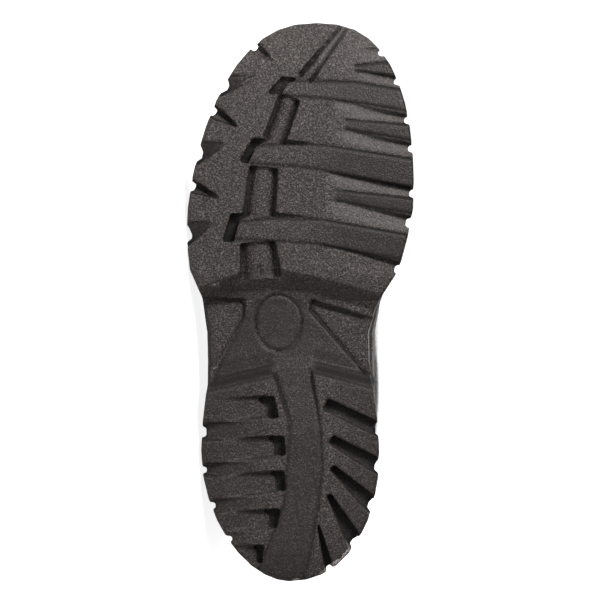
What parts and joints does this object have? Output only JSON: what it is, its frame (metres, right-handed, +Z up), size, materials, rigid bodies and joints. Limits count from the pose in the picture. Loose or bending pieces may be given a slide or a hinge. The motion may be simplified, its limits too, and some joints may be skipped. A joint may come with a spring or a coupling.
{
  "type": "chukka boot",
  "caption": "Right chukka boot lying on its outer side: lugged rubber outsole with a ribbed side wall, black leather upper, laced.",
  "frame": {"origin": "centre of the underside of the bounding box, on the floor the boot lies on", "axes": "-X runs along the boot from heel to toe, +Y from the tread up towards the collar, +Z up from the floor, through the boot from its outer side to its inner side"},
  "size_m": [0.2908, 0.152, 0.12],
  "materials": {
    "rubber": "matte",
    "leather": "gloss",
    "lining": "matte",
    "enamel": "satin",
    "cord": "matte"
  },
  "bodies": {
    "root": {"outsole": "rubber", "upper": "leather", "tongue": "leather", "insole": "lining", "eyelet_outer_1": "enamel", "eyelet_outer_2": "enamel", "eyelet_outer_3": "enamel", "eyelet_outer_4": "enamel", "eyelet_inner_1": "enamel", "eyelet_inner_2": "enamel", "eyelet_inner_3": "enamel", "eyelet_inner_4": "enamel", "laces": "cord"}
  },
  "joints": []
}
